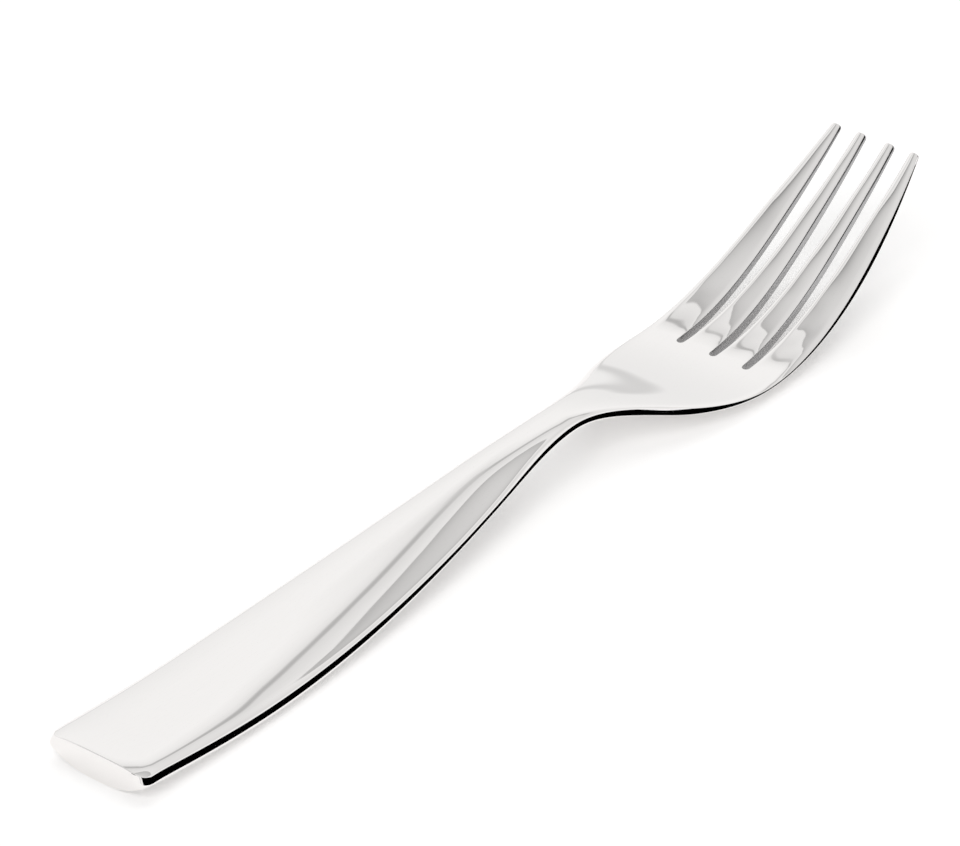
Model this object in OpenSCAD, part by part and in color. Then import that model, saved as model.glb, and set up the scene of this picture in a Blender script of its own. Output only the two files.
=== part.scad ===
// Dinner fork with four tines, forged from one bar of stainless steel.
// The fork lies on a table, tips up: +Y runs from the butt to the tips, +X to the right, +Z up.
// The forging is drawn as sections that meet face to face. Each section is lofted through cross-sections
// of a crowned top with eased edges, a short leaning side wall and a rounded underside, all read from the stations
// along its length.

/* [Lengths] */
// Butt to the widest point of the grip
grip_l = 30; // [20:1:45]
// Widest point of the grip to the steepest point of its taper
taper_l = 62; // [45:1:80]
// Steepest point of the taper to the narrowest point of the neck
neck_l = 21; // [15:1:30]
// Narrowest point of the neck to the steepest point of the shoulder
shoulder_l = 18; // [12:1:26]
// Steepest point of the shoulder to the lowest point of the bowl
bowl_l = 22; // [16:1:30]
// Lowest point of the bowl to the start of the slots
web_l = 2; // [1:0.5:6]
// Lowest point of the bowl to the middle of the tines' upsweep
sweep_l = 31; // [26:1:36]
// Start of the slots to the tips, in plan
tine_l = 45.3; // [40:0.1:60]

/* [Widths] */
// Width of the top at the butt
butt_w = 19.3; // [12:0.1:26]
// Radius of the butt's upright corners
butt_r = 2.2; // [0.5:0.1:3]
// Width of the top at the widest point of the grip
grip_w = 20.7; // [14:0.1:28]
// Width of the top at the steepest point of the taper
taper_w = 11.7; // [9:0.1:16]
// Width of the top at the narrowest point of the neck
neck_w = 7; // [5:0.1:10]
// Width of the top at the steepest point of the shoulder
shoulder_w = 17; // [12:0.1:22]
// Width of the top at the bowl
bowl_w = 27.8; // [22:0.1:34]
// Width over the tines at the middle of their upsweep
sweep_w = 23.9; // [21:0.1:28]
// Angle of each edge to the middle line at the butt
butt_a = 2; // [0:0.5:6]
// Angle of each edge to the middle line at the taper
taper_a = 7.5; // [3:0.5:12]
// Angle of each edge to the middle line at the shoulder
shoulder_a = 26; // [15:1:35]
// Angle of each edge to the middle line at the middle of the upsweep
sweep_a = 7.7; // [4:0.1:12]
// Angle of each edge to the middle line at the tips
tip_a = 13; // [5:0.5:20]

/* [Heights] */
// Underside of the butt above the table
butt_lift = 0; // [0:0.05:3]
// Underside of the taper above the table
taper_lift = 5.75; // [3:0.05:9]
// Underside of the neck above the table
neck_lift = 7.75; // [5:0.05:12]
// Underside of the shoulder above the table
shoulder_lift = 4.35; // [2:0.05:6]
// Downward slope of the handle at the butt
butt_slope_a = 5; // [0:0.5:10]
// Upward slope of the handle at the taper
rise_a = 9.2; // [4:0.1:14]
// Downward slope of the head at the shoulder
fall_a = 17; // [8:0.5:25]
// Edges of the tines above the table at the middle of their upsweep
sweep_h = 13.2; // [9:0.1:16]
// Edges of the tines above the table at the tips
tip_h = 24.4; // [18:0.1:28]
// Upward slope of the tines at the middle of their upsweep
climb_a = 33; // [25:1:40]
// Upward slope of the tines at the tips
tip_climb_a = 40; // [25:1:45]

/* [Crown of the top face] */
// Rise of the top over its edges at the butt
butt_crown = 0.75; // [0.2:0.05:1.5]
// Rise of the top over its edges at the grip
grip_crown = 1.2; // [0.2:0.05:2]
// Rise of the top over its edges at the taper
taper_crown = 1.25; // [0.4:0.05:2.4]
// Rise of the top over its edges at the neck
neck_crown = 0.6; // [0.3:0.05:2]
// Rise of the top over its edges at the shoulder
shoulder_crown = 0.4; // [0.1:0.05:1]
// Depth of the bowl's dish under its edges
bowl_dish = 0.2; // [0.1:0.05:0.8]
// Further drop of the top along the bar's eased edges
bar_ease = 0.2; // [0.05:0.01:0.4]
// Width of the bar's eased edges
bar_ease_w = 1.2; // [0.6:0.1:2]
// Drop of the top along the outer tines' eased outer edges
tine_ease = 0.14; // [0.05:0.01:0.3]
// Width of the outer tines' eased outer edges
tine_ease_w = 0.7; // [0.4:0.1:1]
// Drop of the top along the tines' eased slot edges
slot_ease = 0.12; // [0.02:0.01:0.2]
// Width of the tines' eased slot edges
slot_ease_w = 0.7; // [0.4:0.1:1]
// Length from the slots' start over which their edges become fully eased
slot_ease_l = 12; // [4:1:20]
// Drop of the top along the butt's eased end
butt_ease = 0.36; // [0.05:0.01:0.5]
// Width of the butt's eased end
butt_ease_w = 7; // [2:0.1:10]

/* [Side wall and underside] */
// Height of the side wall at the butt
butt_wall = 1.4; // [0.4:0.05:2]
// Height of the side wall at the grip
grip_wall = 1.2; // [0.4:0.05:2]
// Height of the side wall at the taper
taper_wall = 0.6; // [0.3:0.05:2]
// Height of the side wall at the neck
neck_wall = 0.85; // [0.3:0.05:2]
// Height of the side wall at the shoulder
shoulder_wall = 1.15; // [0.3:0.05:2]
// Height of the side wall at the bowl
bowl_wall = 0.35; // [0.2:0.05:1.5]
// Height of the outer tines' side wall at the middle of the upsweep
sweep_wall = 0.8; // [0.4:0.05:1.5]
// Height of the outer tines' side wall at the tip
tip_wall = 0.35; // [0.2:0.05:1]
// Lean of the side wall out of the upright, so that its foot is the widest line
lean_a = 25; // [0:1:35]
// Depth of the rounded underside at the butt
butt_belly = 3.1; // [1:0.05:5]
// Depth of the rounded underside at the grip
grip_belly = 1.45; // [0.8:0.05:3]
// Depth of the rounded underside at the taper
taper_belly = 1.65; // [0.8:0.05:3]
// Depth of the rounded underside at the neck
neck_belly = 1.75; // [0.8:0.05:3]
// Depth of the rounded underside at the shoulder
shoulder_belly = 1.15; // [0.8:0.05:3]
// Depth of the rounded underside at the bowl
bowl_belly = 2.1; // [0.8:0.05:3]
// Depth of the rounded underside at the middle of the upsweep
sweep_belly = 0.75; // [0.3:0.05:1.5]
// Depth of the rounded underside at the tips
tip_belly = 0.6; // [0.2:0.05:1]

/* [Slots and tips] */
// Width of each slot where it starts
slot_w = 1.4; // [1:0.1:2.4]
// Distance of the side slots from the middle line, where they start
slot_x = 6.9; // [5.5:0.1:8.5]
// Width of each tine at the tip
tip_w = 1.6; // [1:0.1:2.4]
// Gap between the two middle tips
tip_gap_mid = 4.4; // [3:0.1:6]
// Gap between a middle tip and an outer tip
tip_gap_side = 3.6; // [2.5:0.1:5]
// Length of each tip's rounding
tip_r = 0.5; // [0.3:0.1:1.2]

/* [Hidden] */
STEEL = "silver";

// Steps across the top and the underside, and the greatest step along the length
across = 16;
step_l = 3;
// Exponent of the crown at the butt: a flat top with rounded shoulders
butt_power = 4;
// Exponent of the crown past the grip: a little fuller than a parabola
bar_power = 2.9;
// Length from the butt over which the exponent eases from one to the other
power_l = 40;
// Exponent of the underside: a little fuller than a parabola
under_power = 2.4;
// Share of the slot's end radius that its rounded end spans, which leaves a narrow flat
slot_round = 0.96;
// Share of the tip's half-width that its rounding leaves as a flat
tip_flat = 0.65;
// Steps along a slot's rounded end, a butt corner and a tip's rounding
round_steps = 4;

// Places along the middle line, from the butt
grip_y = grip_l;
taper_y = grip_y + taper_l;
neck_y = taper_y + neck_l;
shoulder_y = neck_y + shoulder_l;
bowl_y = shoulder_y + bowl_l;
slot_y = bowl_y + web_l;
sweep_y = bowl_y + sweep_l;
tip_y = slot_y + tine_l;
slot_r = slot_w / 2;
tip_half_w = tip_gap_mid / 2 + 2 * tip_w + tip_gap_side;

// Stations: place, half width and its slope, crown, eased edges, side wall, underside, edge height and its slope
STATION_Y = [0, grip_y, taper_y, neck_y, shoulder_y, bowl_y, sweep_y, tip_y];
HALF_W = [butt_w / 2, grip_w / 2, taper_w / 2, neck_w / 2, shoulder_w / 2, bowl_w / 2, sweep_w / 2, tip_half_w];
HALF_W_SLOPE = [tan(butt_a), 0, -tan(taper_a), 0, tan(shoulder_a), 0, -tan(sweep_a), -tan(tip_a)];
CROWN = [butt_crown, grip_crown, taper_crown, neck_crown, shoulder_crown, -bowl_dish, 0, 0];
EASE = [for (y = STATION_Y) y <= bowl_y ? bar_ease : tine_ease];
EASE_W = [for (y = STATION_Y) y <= bowl_y ? bar_ease_w : tine_ease_w];
WALL = [butt_wall, grip_wall, taper_wall, neck_wall, shoulder_wall, bowl_wall, sweep_wall, tip_wall];
BELLY = [butt_belly, grip_belly, taper_belly, neck_belly, shoulder_belly, bowl_belly, sweep_belly, tip_belly];
LIFT = [butt_lift, 0, taper_lift, neck_lift, shoulder_lift, 0];
EDGE_Z = concat([for (i = [0 : len(LIFT) - 1]) LIFT[i] + WALL[i] + BELLY[i]], [sweep_h, tip_h]);
EDGE_Z_SLOPE = [-tan(butt_slope_a), 0, tan(rise_a), 0, -tan(fall_a), 0, tan(climb_a), tan(tip_climb_a)];
// The underside lies level from the butt to the grip, so there its depth takes up the edge line's slope
BELLY_SLOPE = [-tan(butt_slope_a), 0, 0, 0, 0, 0, 0, 0];
LEVEL = [for (y = STATION_Y) 0];

// Index of the stretch between two stations that holds the place y
function stretch(y, i = 0) = i >= len(STATION_Y) - 2 || y <= STATION_Y[i + 1] ? i : stretch(y, i + 1);

// Cubic curve through the stations' values with the stations' slopes
function curve(y, values, slopes) =
    let (
        i = stretch(y),
        l = STATION_Y[i + 1] - STATION_Y[i],
        t = (y - STATION_Y[i]) / l,
        rise = t * t * (3 - 2 * t)
    )
    values[i] + (values[i + 1] - values[i]) * rise
        + l * (slopes[i] * t * (1 - t) * (1 - t) - slopes[i + 1] * t * t * (1 - t));

// How far the butt's rounded corners draw the outline in
function corner_inset(y) = y < butt_r ? butt_r - sqrt(butt_r * butt_r - pow(butt_r - y, 2)) : 0;

// Half-width to the sides' line, which the butt's corners cut, and to the outline itself
function side_w(y) = curve(y, HALF_W, HALF_W_SLOPE);
function half_w(y) = side_w(y) - corner_inset(y);
function crown(y) = curve(y, CROWN, LEVEL);
function wall(y) = curve(y, WALL, LEVEL);
function belly(y) = curve(y, BELLY, BELLY_SLOPE);

// Half-width at the foot of the leaning side wall
function lean_w(y) = wall(y) * tan(lean_a);
function foot_w(y) = half_w(y) + lean_w(y);

// Exponent of the crown: from rounded shoulders at the butt to a plain crown past the grip
function power(y) = let (t = min(1, y / power_l)) butt_power + (bar_power - butt_power) * t * t * (3 - 2 * t);

// Height of the edge line
function edge_z(y) = curve(y, EDGE_Z, EDGE_Z_SLOPE);

// Slope that a cross-section is square to: upright on the handle, square to the edge line on the head
probe = 0.01;
function slope_a(y) = y <= neck_y ? 0 : atan((edge_z(y + probe) - edge_z(y - probe)) / (2 * probe));

// Lowest point of the underside, which rests on the table
rest_z = min([for (y = [0 : 1 : slot_y]) edge_z(y) - wall(y) - belly(y)]);

// Share of an eased edge's drop at a distance from the edge
function eased(room, width) = pow(max(0, 1 - max(0, room) / width), 2);

// Heights of the top and the underside over the edge line, at x from the middle line
function top_h(x, y) =
    crown(y) * (1 - pow(min(1, abs(x) / side_w(y)), power(y)))
        + curve(y, EASE, LEVEL) * (1 - eased(side_w(y) - abs(x), curve(y, EASE_W, LEVEL)))
        - butt_ease * pow(max(0, 1 - y / butt_ease_w), 3);
function under_h(x, y) =
    -wall(y) - belly(y) * (1 - pow(min(1, abs(x) / (side_w(y) + lean_w(y))), under_power));

// Point of the cross-section at y, x to the side of the middle line and h over the edge line
function at(x, h, y) =
    let (a = slope_a(y))
    [x, y - h * sin(a), edge_z(y) + h * cos(a)];

// Half-width of the slots at y: a round end, then straight sides that part towards the tips
function slot_share(y) = max(0, (y - slot_y) / tine_l);
function slot_half(y) = y < slot_y ? slot_r * sqrt(1 - pow((slot_y - y) / slot_r, 2)) : slot_r;

// Drop of a tine's eased slot edge at a distance from that edge
function slot_drop(room, y) =
    let (t = min(1, max(0, (y - slot_y) / slot_ease_l)))
    slot_ease * t * t * (3 - 2 * t) * eased(room, slot_ease_w);

// Sides of the two right-hand tines at y, before the tip's rounding: [inner side, outer side, outer side's foot]
function between(from, to, y) = from + (to - from) * slot_share(y);
function inner_tine(y) =
    let (outer = between(slot_x - slot_half(y), tip_gap_mid / 2 + tip_w, y))
    [between(slot_half(y), tip_gap_mid / 2, y), outer, outer];
function outer_tine(y) = [between(slot_x + slot_half(y), tip_half_w - tip_w, y), half_w(y), foot_w(y)];

// Share of the tine's width that its rounded tip keeps
function tip_share(y) =
    let (t = max(0, (y - tip_y + tip_r) / tip_r))
    tip_flat + (1 - tip_flat) * sqrt(max(0, 1 - t * t));

// Places across a face, from -1 to 1 and closer together at its edges
ACROSS = [for (i = [0 : across]) -cos(180 * i / across)];

// Ring of points of the whole bar at y, from the left edge over the top and back along the underside
function bar_ring(y) =
    concat(
        [for (u = ACROSS) at(half_w(y) * u, top_h(half_w(y) * u, y), y)],
        [for (u = ACROSS) at(-foot_w(y) * u, under_h(foot_w(y) * u, y), y)]
    );

// Ring of points of one tine at y, between its two sides, whose slot edges are eased
function tine_ring(y, sides) =
    let (
        mid = (sides[0] + sides[1]) / 2,
        half = (sides[1] - sides[0]) / 2 * tip_share(y),
        foot_mid = (sides[0] + sides[2]) / 2,
        foot_half = (sides[2] - sides[0]) / 2 * tip_share(y),
        slots = sides[1] == sides[2] ? [-1, 1] : [-1]
    )
    concat(
        [for (u = ACROSS)
            let (x = mid + half * u, drops = [for (side = slots) slot_drop(half * (1 - side * u), y)])
            at(x, top_h(x, y) - drops * [for (side = slots) 1], y)],
        [for (u = ACROSS)
            let (x = foot_mid - foot_half * u)
            at(x, under_h(x, y), y)]
    );

// The same ring on the other side of the middle line, still turning the same way
function mirrored(ring) = [for (i = [len(ring) - 1 : -1 : 0]) [-ring[i][0], ring[i][1], ring[i][2]]];

// Even steps from one place to another, none longer than the greatest step
function steps(from, to) =
    let (n = max(1, ceil((to - from) / step_l)))
    [for (i = [0 : n]) from + (to - from) * i / n];

// Middle of the fork's length, from the butt to the lower corners of the tips
mid_y = max([for (point = tine_ring(tip_y, inner_tine(tip_y))) point[1]]) / 2;

// Closed solid through a row of rings with as many points each, placed on the table about the fork's middle
module loft(rings) {
    n = len(rings[0]);
    sides = [
        for (r = [0 : len(rings) - 2])
            for (i = [0 : n - 1])
                for (face = [[r * n + i, (r + 1) * n + i, r * n + (i + 1) % n],
                             [r * n + (i + 1) % n, (r + 1) * n + i, (r + 1) * n + (i + 1) % n]])
                    face
    ];
    first = [for (i = [0 : n - 1]) i];
    last = [for (i = [n - 1 : -1 : 0]) (len(rings) - 1) * n + i];
    translate([0, -mid_y, -rest_z])
        polyhedron(points = [for (ring = rings) each ring], faces = concat([first], sides, [last]));
}

// Stretch of the bar between two places
module bar(from, to) {
    loft([for (y = steps(from, to)) bar_ring(y)]);
}

// Places along a tine: the slot's rounded end, the length and the rounded tip
slot_end_y = slot_y - slot_round * slot_r;
TINE_Y = concat(
    [for (i = [0 : round_steps - 1]) slot_y - slot_r * slot_round * cos(90 * i / round_steps)],
    steps(slot_y, tip_y - tip_r),
    [for (i = [1 : round_steps]) tip_y - tip_r + tip_r * sin(90 * i / round_steps)]
);

module butt() {
    corner = [for (i = [0 : round_steps - 1]) butt_r * (1 - cos(90 * i / round_steps))];
    color(STEEL) loft([for (y = concat(corner, steps(butt_r, grip_y))) bar_ring(y)]);
}

module grip() {
    color(STEEL) bar(grip_y, taper_y);
}

module neck() {
    color(STEEL) bar(taper_y, shoulder_y);
}

module head() {
    past_bowl = [for (y = steps(bowl_y, slot_end_y)) if (y > bowl_y) y];
    color(STEEL) loft([for (y = concat(steps(shoulder_y, bowl_y), past_bowl)) bar_ring(y)]);
}

// The tines are counted from the left: the two on the left mirror the two on the right
module tine_1() {
    color(STEEL) loft([for (y = TINE_Y) mirrored(tine_ring(y, outer_tine(y)))]);
}

module tine_2() {
    color(STEEL) loft([for (y = TINE_Y) mirrored(tine_ring(y, inner_tine(y)))]);
}

module tine_3() {
    color(STEEL) loft([for (y = TINE_Y) tine_ring(y, inner_tine(y))]);
}

module tine_4() {
    color(STEEL) loft([for (y = TINE_Y) tine_ring(y, outer_tine(y))]);
}

butt();
grip();
neck();
head();
tine_1();
tine_2();
tine_3();
tine_4();
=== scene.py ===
"""Dinner fork on a pale table: the pressed steel form, its finishes and the studio around it."""
import logging
import math
from dataclasses import dataclass, field
from enum import Enum

import bmesh
import bpy
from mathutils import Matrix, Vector


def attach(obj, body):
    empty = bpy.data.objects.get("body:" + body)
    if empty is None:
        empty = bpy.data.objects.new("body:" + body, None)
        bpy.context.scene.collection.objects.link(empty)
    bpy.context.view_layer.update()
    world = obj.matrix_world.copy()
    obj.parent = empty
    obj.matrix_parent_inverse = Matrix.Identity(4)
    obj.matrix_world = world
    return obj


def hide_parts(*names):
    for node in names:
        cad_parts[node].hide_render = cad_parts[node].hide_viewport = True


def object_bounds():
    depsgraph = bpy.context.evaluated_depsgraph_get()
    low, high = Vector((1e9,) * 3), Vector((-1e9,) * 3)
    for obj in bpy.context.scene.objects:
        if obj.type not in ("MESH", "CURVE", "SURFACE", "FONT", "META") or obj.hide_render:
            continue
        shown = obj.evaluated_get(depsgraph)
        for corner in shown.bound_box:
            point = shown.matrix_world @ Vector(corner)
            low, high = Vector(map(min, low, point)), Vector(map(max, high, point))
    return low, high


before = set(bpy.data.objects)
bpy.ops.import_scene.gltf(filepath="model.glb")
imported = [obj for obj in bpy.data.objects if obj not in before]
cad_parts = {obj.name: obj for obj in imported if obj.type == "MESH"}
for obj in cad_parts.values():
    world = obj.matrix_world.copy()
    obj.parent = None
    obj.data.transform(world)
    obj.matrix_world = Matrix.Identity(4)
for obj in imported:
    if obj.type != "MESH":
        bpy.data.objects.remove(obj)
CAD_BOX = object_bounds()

MM = 0.001
LOG = logging.getLogger("dinner_fork")


class Section(Enum):
    """Named sections of the forging, in the order of their numbers on the faces."""

    BUTT = "butt"
    GRIP = "grip"
    NECK = "neck"
    HEAD = "head"
    TINE_1 = "tine_1"
    TINE_2 = "tine_2"
    TINE_3 = "tine_3"
    TINE_4 = "tine_4"

    @property
    def number(self) -> int:
        """Number that marks the section's faces."""
        return list(Section).index(self)


TINES = (Section.TINE_1, Section.TINE_2, Section.TINE_3, Section.TINE_4)


class Edge(Enum):
    """Kinds of edge that the fork's outline runs along."""

    BUTT = "butt"
    SIDE = "side"
    SLOT = "slot"
    TIP = "tip"


@dataclass(frozen=True)
class Station:
    """A place along the fork where its form is given.

    Attributes:
        name: What the place is called.
        place: Distance from the butt.
        width: Width of the top face.
        spread: Angle of each edge to the middle line, in degrees.
        height: Height of the edge line over the table.
        rise: Slope of the edge line, in degrees.
        crown: Rise of the top face over its edges.
        ease: Further drop of the top face along its eased edges.
        ease_width: Width of the eased edges.
        wall: Height of the side wall.
        belly: Depth of the rounded underside.
        rounding: Radius between the top face and the side wall.
        belly_rise: Angle at which the underside's depth changes, in degrees.
    """

    name: str
    place: float
    width: float
    spread: float
    height: float
    rise: float
    crown: float
    ease: float
    ease_width: float
    wall: float
    belly: float
    rounding: float
    belly_rise: float = 0


@dataclass(frozen=True)
class ForkForm:
    """Sizes of the fork and the rules of its cross-sections, before the press bends it.

    Attributes:
        butt: Station at the flat end of the handle.
        grip: Station where the handle is widest.
        taper: Station where the handle has narrowed.
        neck: Narrowest station.
        shoulder: Station where the head widens.
        bowl: Widest station of the head.
        tine: Station in the middle of the upsweep.
        tip: Station at the ends of the tines.
        butt_corner: Radius of the butt's corners in plan.
        butt_ease: Drop of the top face at the butt's end.
        butt_ease_width: Length of that drop.
        butt_power: Exponent of the crown at the butt.
        bar_power: Exponent of the crown on the rest of the bar.
        taper_power: Exponent of the crown at the taper.
        power_length: Where the butt's exponent has passed into the bar's.
        taper_power_start: Where the bar's exponent starts to pass into the taper's.
        under_power: Exponent of the underside's rounding.
        lean: Lean of the side wall out of the upright, in degrees.
        slot_start: Where the slots' straight sides start.
        slot_width: Width of a slot at its start.
        slot_place: Distance between the slots' middle lines.
        slot_rounding: Radius of the slots' upper edges.
        slot_ease: Drop of the top face along the slots.
        slot_ease_width: Width of that drop.
        slot_ease_start: Length over which that drop comes in.
        slot_bevel: Height of the leaning part of a slot's wall at the tips.
        foot_rounding: Radius of the lower edges.
        tip_width: Width of a tine at its tip.
        tip_gap_middle: Gap between the middle tines at their tips.
        tip_rounding: Length of a tip's rounding.
        tip_flat: Share of a tip's width that its rounding leaves flat.
        tine_crown: Rise of a tine's own crown.
        tine_crown_start: Share of a tine's length over which that crown comes in.
        evening: Distance between the places over which the crown is evened out.
        evening_weights: Weights of those places, the middle one of which is the place itself.
    """

    butt: Station = Station(
        "Butt", 0, width=19.3 * MM, spread=2, height=4.5 * MM, rise=-5, crown=0.75 * MM, ease=0.2 * MM,
        ease_width=1.8 * MM, wall=1.4 * MM, belly=3.1 * MM, rounding=0.2 * MM, belly_rise=-5,
    )
    grip: Station = Station(
        "Grip", 30 * MM, width=20.7 * MM, spread=0, height=2.65 * MM, rise=0, crown=1.2 * MM, ease=0.25 * MM,
        ease_width=1.3 * MM, wall=1.2 * MM, belly=1.45 * MM, rounding=0.15 * MM,
    )
    taper: Station = Station(
        "Taper", 92 * MM, width=11.7 * MM, spread=-7.5, height=8 * MM, rise=9.2, crown=1.25 * MM, ease=0.2 * MM,
        ease_width=1.2 * MM, wall=0.6 * MM, belly=1.65 * MM, rounding=0.12 * MM,
    )
    neck: Station = Station(
        "Neck", 113 * MM, width=7 * MM, spread=0, height=10.35 * MM, rise=0, crown=0.6 * MM, ease=0.18 * MM,
        ease_width=1 * MM, wall=0.85 * MM, belly=1.75 * MM, rounding=0.12 * MM,
    )
    shoulder: Station = Station(
        "Shoulder", 131 * MM, width=17 * MM, spread=26, height=6.65 * MM, rise=-17, crown=0.4 * MM, ease=0.22 * MM,
        ease_width=1 * MM, wall=1.15 * MM, belly=1.15 * MM, rounding=0.12 * MM,
    )
    bowl: Station = Station(
        "Bowl", 153 * MM, width=27.79 * MM, spread=0, height=2.45 * MM, rise=0, crown=-0.2 * MM, ease=0.2 * MM,
        ease_width=1 * MM, wall=0.35 * MM, belly=2.1 * MM, rounding=0.1 * MM,
    )
    tine: Station = Station(
        "Tine", 184 * MM, width=23.9 * MM, spread=-7.7, height=13.2 * MM, rise=33, crown=0, ease=0.14 * MM,
        ease_width=0.8 * MM, wall=0.8 * MM, belly=0.75 * MM, rounding=0.1 * MM,
    )
    tip: Station = Station(
        "Tip", 200.3 * MM, width=18 * MM, spread=-13, height=24.34 * MM, rise=40, crown=0, ease=0.1 * MM,
        ease_width=0.6 * MM, wall=0.35 * MM, belly=0.6 * MM, rounding=0.08 * MM,
    )
    butt_corner: float = 2.2 * MM
    butt_ease: float = 0.36 * MM
    butt_ease_width: float = 7 * MM
    butt_power: float = 4
    bar_power: float = 2.9
    taper_power: float = 2.4
    power_length: float = 40 * MM
    taper_power_start: float = 58 * MM
    under_power: float = 2.4
    lean: float = 25
    slot_start: float = 155 * MM
    slot_width: float = 1.4 * MM
    slot_place: float = 6.9 * MM
    slot_rounding: float = 0.08 * MM
    slot_ease: float = 0.12 * MM
    slot_ease_width: float = 0.7 * MM
    slot_ease_start: float = 12 * MM
    slot_bevel: float = 0.4 * MM
    foot_rounding: float = 0.12 * MM
    tip_width: float = 1.6 * MM
    tip_gap_middle: float = 4.4 * MM
    tip_rounding: float = 0.5 * MM
    tip_flat: float = 0.65
    tine_crown: float = 0.085 * MM
    tine_crown_start: float = 0.4
    evening: float = 3 * MM
    evening_weights: tuple[int, ...] = (1, 4, 6, 4, 1)

    @property
    def stations(self) -> tuple[Station, ...]:
        """All stations, from the butt to the tips."""
        return (self.butt, self.grip, self.taper, self.neck, self.shoulder, self.bowl, self.tine, self.tip)

    def _curve(self, y: float, values: list[float], slopes: list[float]) -> float:
        """Cubic curve through the stations.

        Args:
            y: Place along the fork.
            values: The curve's value at each station.
            slopes: The curve's slope at each station.

        Returns:
            The curve's value at y.
        """
        places = [station.place for station in self.stations]
        i = max(n for n in range(len(places) - 1) if n == 0 or places[n] < y)
        length = places[i + 1] - places[i]
        t = (y - places[i]) / length
        rise = t * t * (3 - 2 * t)
        lead = slopes[i] * t * (1 - t) ** 2 - slopes[i + 1] * t * t * (1 - t)
        return values[i] + (values[i + 1] - values[i]) * rise + length * lead

    @staticmethod
    def _smooth(share: float) -> float:
        """Eases a share from zero to one, level at both ends."""
        t = min(1.0, max(0.0, share))
        return t * t * (3 - 2 * t)

    def _level_curve(self, y: float, name: str) -> float:
        """Cubic curve through one of the stations' sizes, level at each station.

        Args:
            y: Place along the fork.
            name: Name of the size.

        Returns:
            The size at y.
        """
        return self._curve(y, [getattr(station, name) for station in self.stations], [0.0] * len(self.stations))

    def crown(self, y: float) -> float:
        """Rise of the top face over its edges, evened out so that reflections run on smoothly.

        Args:
            y: Place along the fork.

        Returns:
            The rise at that place.
        """
        weights = self.evening_weights
        steps = [n - len(weights) // 2 for n in range(len(weights))]
        places = [min(max(y + step * self.evening, 0.0), self.tip.place) for step in steps]
        return sum(self._level_curve(place, "crown") * weight for place, weight in zip(places, weights)) / sum(weights)

    def half_width(self, y: float) -> float:
        """Half-width of the top face at y, without the butt's corners."""
        widths = [station.width / 2 for station in self.stations]
        return self._curve(y, widths, [math.tan(math.radians(station.spread)) for station in self.stations])

    def wall(self, y: float) -> float:
        """Height of the side wall at y."""
        return self._level_curve(y, "wall")

    def belly(self, y: float) -> float:
        """Depth of the rounded underside at y."""
        depths = [station.belly for station in self.stations]
        return self._curve(y, depths, [math.tan(math.radians(station.belly_rise)) for station in self.stations])

    def rounding(self, y: float) -> float:
        """Radius of the top face's edge at y."""
        return self._level_curve(y, "rounding")

    def lean_reach(self, y: float) -> float:
        """How far the foot of the side wall stands out at y."""
        return self.wall(y) * math.tan(math.radians(self.lean))

    def power(self, y: float) -> float:
        """Exponent of the crown: a flat top with rounded shoulders at the butt, a plainer crown at the taper.

        Args:
            y: Place along the fork.

        Returns:
            The exponent at that place.
        """
        past_butt = self._smooth(y / self.power_length)
        to_taper = self._smooth((y - self.taper_power_start) / (self.taper.place - self.taper_power_start))
        past_taper = self._smooth((y - self.taper.place) / (self.neck.place - self.taper.place))
        power = self.butt_power + (self.bar_power - self.butt_power) * past_butt
        share = to_taper * (1 - past_taper)
        return power + (self.taper_power - self.bar_power) * share

    def slot_share(self, y: float) -> float:
        """Share of the tines' length that lies before y."""
        return min(1.0, max(0.0, (y - self.slot_start) / (self.tip.place - self.slot_start)))

    def tine_sides(self, tine: int, y: float) -> tuple[float, float]:
        """Sides of a tine before its tip is rounded.

        Args:
            tine: Number of the tine, counted from the left.
            y: Place along the fork.

        Returns:
            The left side and the right side, from the middle line.
        """
        share = self.slot_share(y)
        half = self.slot_width / 2
        if tine in (1, 2):
            root = (half, self.slot_place - half)
            end = (self.tip_gap_middle / 2, self.tip_gap_middle / 2 + self.tip_width)
            near, far = (a + (b - a) * share for a, b in zip(root, end))
        else:
            root = self.slot_place + half
            near = root + (self.tip.width / 2 - self.tip_width - root) * share
            far = self.half_width(y)
        return (near, far) if tine > 1 else (-far, -near)

    def tip_share(self, y: float) -> float:
        """Share of a tine's width that its rounded tip keeps at y."""
        t = min(1.0, max(0.0, (y - self.tip.place + self.tip_rounding) / self.tip_rounding))
        return self.tip_flat + (1 - self.tip_flat) * math.sqrt(1 - t * t)

    def _eased(self, room: float, width: float) -> float:
        """Share of an eased edge's drop.

        Args:
            room: Distance from the edge.
            width: Width of the eased edge.

        Returns:
            One at the edge, falling to zero over the width.
        """
        return min(1.0, max(0.0, 1 - room / width)) ** 2

    def _tine_top(self, x: float, y: float, tine: int) -> float:
        """Height of a tine's own crown and eased slot edges.

        Args:
            x: Distance from the middle line.
            y: Place along the fork.
            tine: Number of the tine.

        Returns:
            The height over the plain top face.
        """
        left, right = self.tine_sides(tine, y)
        middle, half = (left + right) / 2, (right - left) / 2 * self.tip_share(y)
        u = min(1.0, abs(x - middle) / half)
        rooms = [middle + half - x] * (tine < 3) + [x - middle + half] * (tine > 0)
        crown = self.tine_crown * self._smooth(self.slot_share(y) / self.tine_crown_start)
        ease = self.slot_ease * self._smooth((y - self.slot_start) / self.slot_ease_start)
        return crown * (1 - u * u) - ease * sum(self._eased(room, self.slot_ease_width) for room in rooms)

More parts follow.
